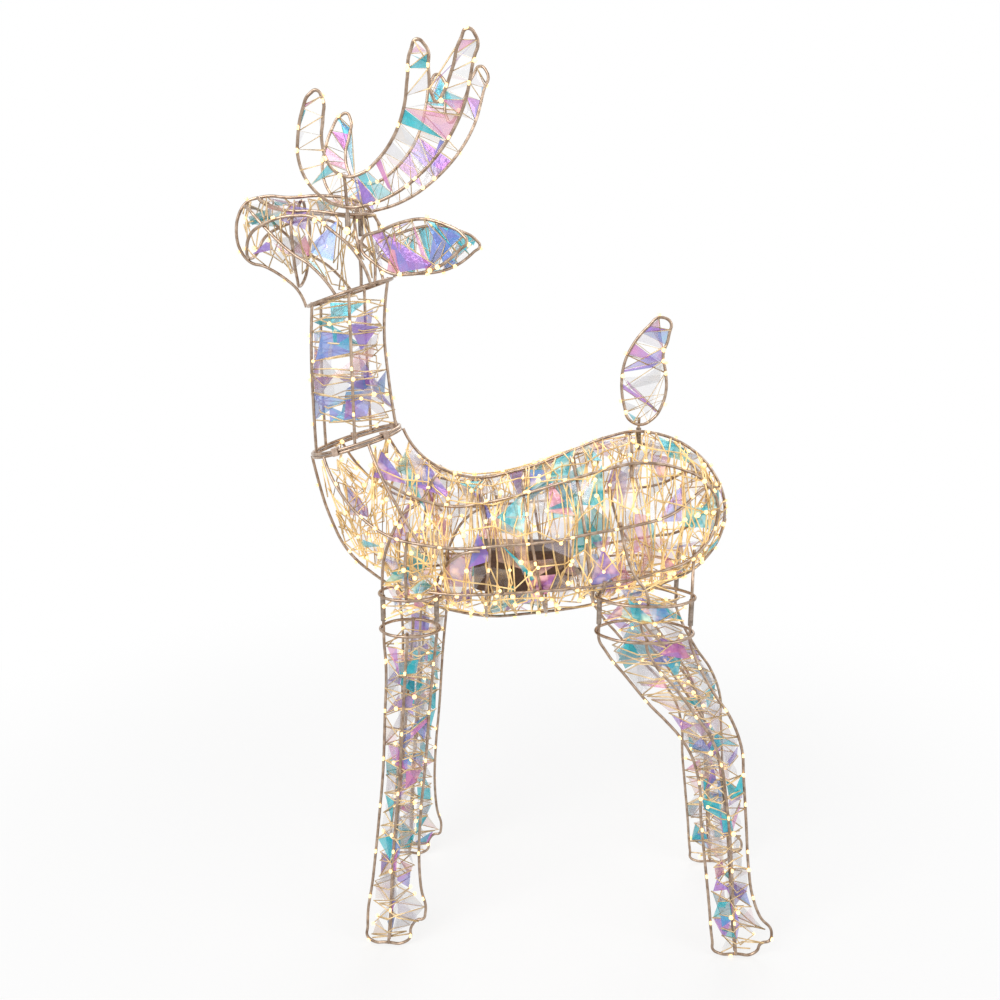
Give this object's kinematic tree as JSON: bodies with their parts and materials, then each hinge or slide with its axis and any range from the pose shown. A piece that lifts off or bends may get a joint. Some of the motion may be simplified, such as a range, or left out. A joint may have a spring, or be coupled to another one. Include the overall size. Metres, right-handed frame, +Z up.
{
  "type": "light up yard reindeer",
  "caption": "Standing bent-wire deer figure wrapped in shimmering film and small lights, with lift-off head, pull-out antlers, tail and legs, and a control box in its belly.",
  "frame": {"origin": "on the ground, midway between the nose and the hind hooves, on the deer's plane of symmetry", "axes": "+Z up, -X the way the deer faces, -Y the deer's left side"},
  "size_m": [0.7332, 0.2316, 1.2056],
  "materials": {
    "wire": "satin champagne paint",
    "bulb": "clear, warm white when lit",
    "box": "matt dark brown",
    "board": "satin green",
    "component": "matt black",
    "screw": "brushed",
    "button": "gloss",
    "gland": "matt black",
    "clip": "tinted clear plastic",
    "sleeve": "satin champagne paint"
  },
  "bodies": {
    "torso": {"board_components": "component", "carrier_bars": "wire", "chest_rails": "wire", "circuit_board": "board", "controller_base": "box", "controller_cover": "box", "cover_screws": "screw", "lead_gland": "gland", "leg_collars": "wire", "leg_sleeves": "sleeve", "leg_stubs": "wire", "lights_torso": "bulb", "mid_hoop": "wire", "neck_seat_ring": "wire", "rib_front": "wire", "rib_middle": "wire", "rib_rear": "wire", "shoulder_brace": "wire", "side_loop_left": "wire", "side_loop_right": "wire", "spine_belly_loop": "wire", "tail_rib": "wire", "tail_socket": "sleeve"},
    "head": {"antler_sockets": "sleeve", "brow_wires": "wire", "cheek_loop": "wire", "crown_hoop": "wire", "ear_left": "wire", "ear_right": "wire", "head_profile": "wire", "lights_head": "bulb", "mouth_loop": "wire", "muzzle_ring": "wire", "neck_base_ring": "wire", "neck_clips": "clip", "neck_rails": "wire", "throat_ring": "wire"},
    "antler_left": {"antler_left_outline": "wire", "antler_left_post": "wire", "lights_antler_left": "bulb"},
    "antler_right": {"antler_right_outline": "wire", "antler_right_post": "wire", "lights_antler_right": "bulb"},
    "tail": {"lights_tail": "bulb", "tail_loop": "wire", "tail_post": "wire"},
    "mode_button": {"mode_button": "button"},
    "front_left_leg": {"front_left_leg_loop": "wire", "front_left_leg_struts": "wire", "lights_front_left_leg": "bulb"},
    "front_right_leg": {"front_right_leg_loop": "wire", "front_right_leg_struts": "wire", "lights_front_right_leg": "bulb"},
    "hind_left_leg": {"hind_left_leg_loop": "wire", "hind_left_leg_struts": "wire", "lights_hind_left_leg": "bulb"},
    "hind_right_leg": {"hind_right_leg_loop": "wire", "hind_right_leg_struts": "wire", "lights_hind_right_leg": "bulb"}
  },
  "joints": [
    {"name": "head_lift_off", "type": "slide", "parent": "torso", "child": "head", "axis": [-0.2924, 0, 0.9563], "range_m": [0, 0.06]},
    {"name": "antler_left_pull_out", "type": "slide", "parent": "head", "child": "antler_left", "axis": [0, 0, 1], "range_m": [0, 0.03]},
    {"name": "antler_right_pull_out", "type": "slide", "parent": "head", "child": "antler_right", "axis": [0, 0, 1], "range_m": [0, 0.03]},
    {"name": "tail_pull_out", "type": "slide", "parent": "torso", "child": "tail", "axis": [0, 0, 1], "range_m": [0, 0.03]},
    {"name": "mode_button_press", "type": "slide", "parent": "torso", "child": "mode_button", "axis": [0, 0, -1], "range_m": [0, 0.0015], "stiffness_N_per_m": 600},
    {"name": "front_left_leg_pull_out", "type": "slide", "parent": "torso", "child": "front_left_leg", "axis": [0, 0, -1], "range_m": [0, 0.04]},
    {"name": "front_right_leg_pull_out", "type": "slide", "parent": "torso", "child": "front_right_leg", "axis": [0, 0, -1], "range_m": [0, 0.04]},
    {"name": "hind_left_leg_pull_out", "type": "slide", "parent": "torso", "child": "hind_left_leg", "axis": [0, 0, -1], "range_m": [0, 0.04]},
    {"name": "hind_right_leg_pull_out", "type": "slide", "parent": "torso", "child": "hind_right_leg", "axis": [0, 0, -1], "range_m": [0, 0.04]}
  ]
}
